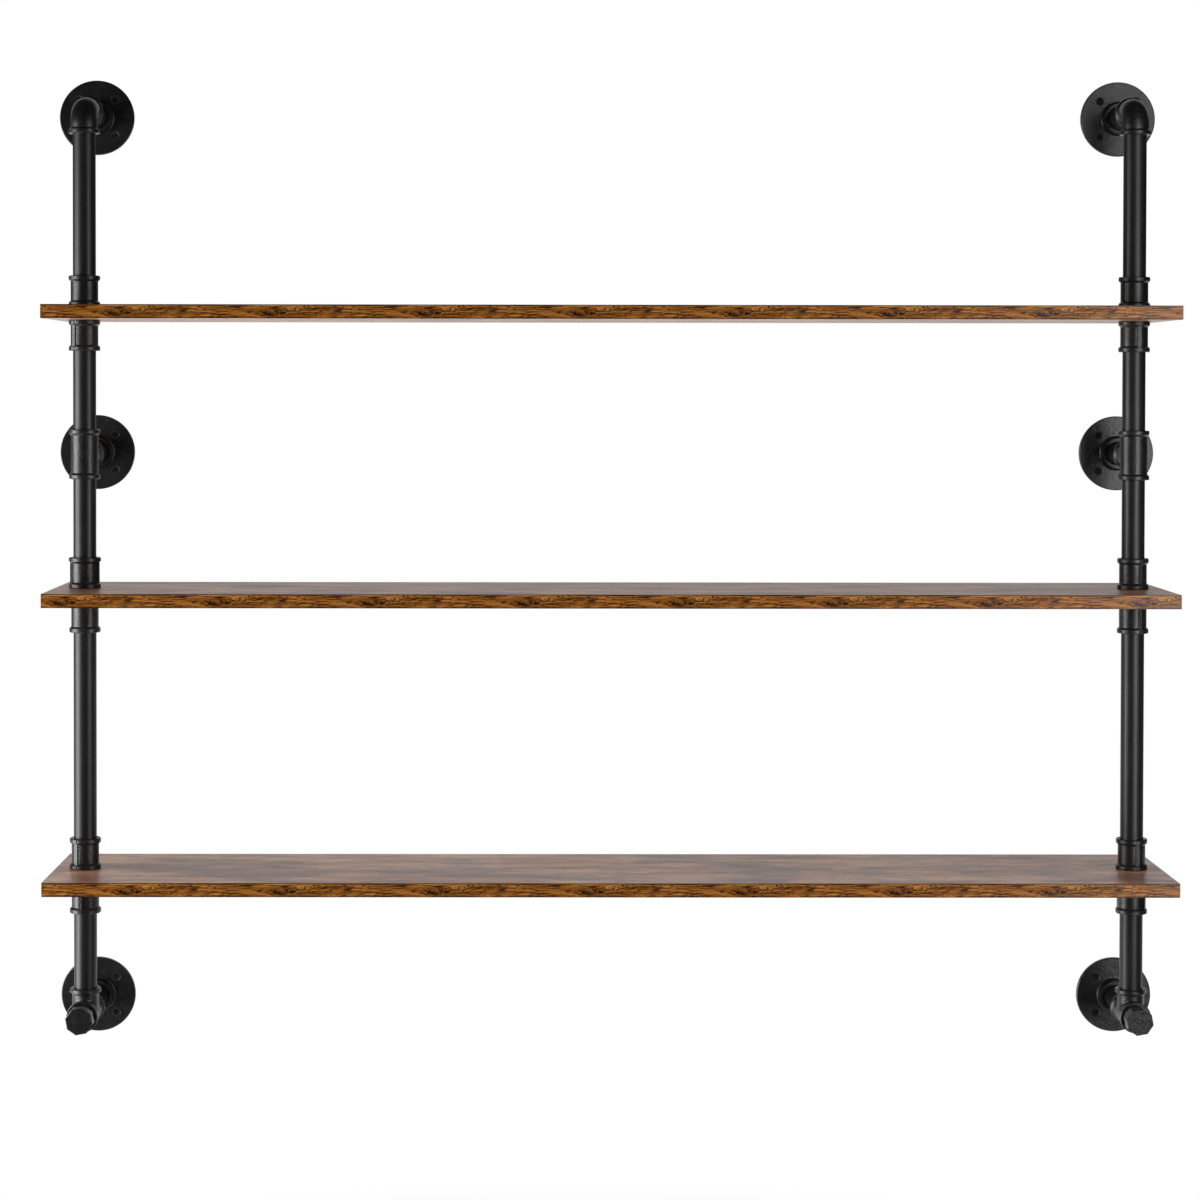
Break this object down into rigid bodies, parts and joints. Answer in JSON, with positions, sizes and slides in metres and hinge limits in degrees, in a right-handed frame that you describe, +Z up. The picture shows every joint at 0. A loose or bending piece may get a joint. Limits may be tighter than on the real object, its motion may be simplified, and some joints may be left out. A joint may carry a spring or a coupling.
{
  "type": "pipe shelving unit",
  "caption": "Wall-hung pipe shelving unit: long laminated boards clamped between couplings on columns of black threaded pipe, held off the wall by arms and round flanges.",
  "frame": {"origin": "on the wall plane, midway between the two columns and midway between the top and bottom arms", "axes": "+X along the boards to the right as seen from the room, +Y into the wall, +Z up"},
  "size_m": [1.3204, 0.2375, 1.1494],
  "materials": {
    "black_cast_iron": "matte black coated malleable casting",
    "black_steel_pipe": "satin black coated steel pipe",
    "black_steel_screw": "black phosphated steel",
    "wood_print_laminate": "melamine faced board with a rustic wood print",
    "pvc_edge_banding": "glued edge banding with a rustic wood print"
  },
  "bodies": {
    "root": {"arm_nipple_bottom_left": "black_steel_pipe", "arm_nipple_bottom_right": "black_steel_pipe", "arm_nipple_middle_left": "black_steel_pipe", "arm_nipple_middle_right": "black_steel_pipe", "arm_nipple_top_left": "black_steel_pipe", "arm_nipple_top_right": "black_steel_pipe", "bottom_tee_left": "black_cast_iron", "bottom_tee_right": "black_cast_iron", "coupling_above_bottom_left": "black_cast_iron", "coupling_above_bottom_right": "black_cast_iron", "coupling_above_middle_left": "black_cast_iron", "coupling_above_middle_right": "black_cast_iron", "coupling_above_top_left": "black_cast_iron", "coupling_above_top_right": "black_cast_iron", "coupling_below_bottom_left": "black_cast_iron", "coupling_below_bottom_right": "black_cast_iron", "coupling_below_middle_left": "black_cast_iron", "coupling_below_middle_right": "black_cast_iron", "coupling_below_top_left": "black_cast_iron", "coupling_below_top_right": "black_cast_iron", "edge_banding_bottom": "pvc_edge_banding", "edge_banding_middle": "pvc_edge_banding", "edge_banding_top": "pvc_edge_banding", "elbow_left": "black_cast_iron", "elbow_right": "black_cast_iron", "flange_screws_bottom_left": "black_steel_screw", "flange_screws_bottom_right": "black_steel_screw", "flange_screws_middle_left": "black_steel_screw", "flange_screws_middle_right": "black_steel_screw", "flange_screws_top_left": "black_steel_screw", "flange_screws_top_right": "black_steel_screw", "middle_tee_left": "black_cast_iron", "middle_tee_right": "black_cast_iron", "plug_left": "black_cast_iron", "plug_right": "black_cast_iron", "riser_pipe_a_left": "black_steel_pipe", "riser_pipe_a_right": "black_steel_pipe", "riser_pipe_b_left": "black_steel_pipe", "riser_pipe_b_right": "black_steel_pipe", "riser_pipe_c_left": "black_steel_pipe", "riser_pipe_c_right": "black_steel_pipe", "riser_pipe_d_left": "black_steel_pipe", "riser_pipe_d_right": "black_steel_pipe", "riser_pipe_e_left": "black_steel_pipe", "riser_pipe_e_right": "black_steel_pipe", "shelf_board_bottom": "wood_print_laminate", "shelf_board_middle": "wood_print_laminate", "shelf_board_top": "wood_print_laminate", "shelf_nipple_bottom_left": "black_steel_pipe", "shelf_nipple_bottom_right": "black_steel_pipe", "shelf_nipple_middle_left": "black_steel_pipe", "shelf_nipple_middle_right": "black_steel_pipe", "shelf_nipple_top_left": "black_steel_pipe", "shelf_nipple_top_right": "black_steel_pipe", "wall_flange_bottom_left": "black_cast_iron", "wall_flange_bottom_right": "black_cast_iron", "wall_flange_middle_left": "black_cast_iron", "wall_flange_middle_right": "black_cast_iron", "wall_flange_top_left": "black_cast_iron", "wall_flange_top_right": "black_cast_iron"}
  },
  "joints": []
}
